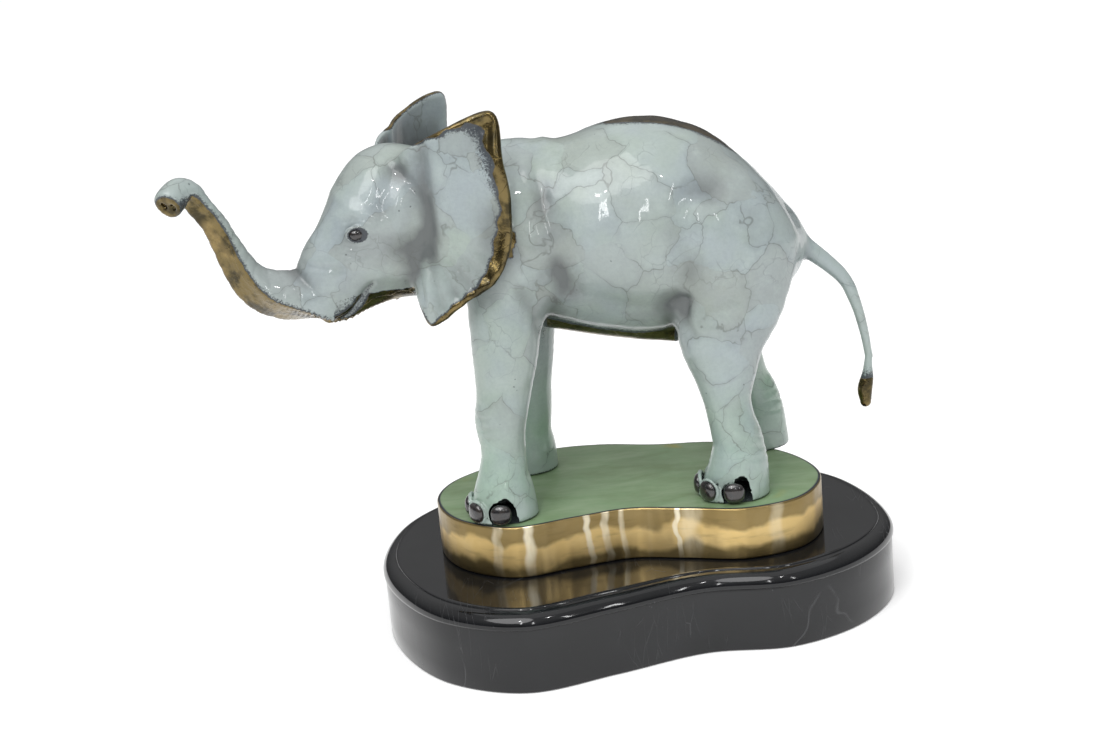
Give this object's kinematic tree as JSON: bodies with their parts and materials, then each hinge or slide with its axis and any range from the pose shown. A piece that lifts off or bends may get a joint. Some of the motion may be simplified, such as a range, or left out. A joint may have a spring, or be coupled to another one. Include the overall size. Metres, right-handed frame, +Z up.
{
  "type": "bronze elephant sculpture",
  "caption": "Standing elephant calf in patinated bronze with a raised trunk, on a kidney-shaped bronze ground and a black marble plinth.",
  "frame": {"origin": "middle of the plinth's length on its flat underside, in the elephant's mid-plane", "axes": "+Z up; the elephant faces -X and its head is turned towards -Y; +X is towards the tail, along the length"},
  "size_m": [0.4275, 0.2527, 0.3354],
  "materials": {
    "patinated_bronze": "glossy lacquered patina, pale blue-green with thin dark veins, edges polished bright",
    "polished_bronze": "polished rim with a mottled green top",
    "black_marble": "polished black marble with faint scratches"
  },
  "bodies": {
    "root": {"elephant": "patinated_bronze", "bronze_ground_slab": "polished_bronze", "marble_plinth": "black_marble"}
  },
  "joints": []
}
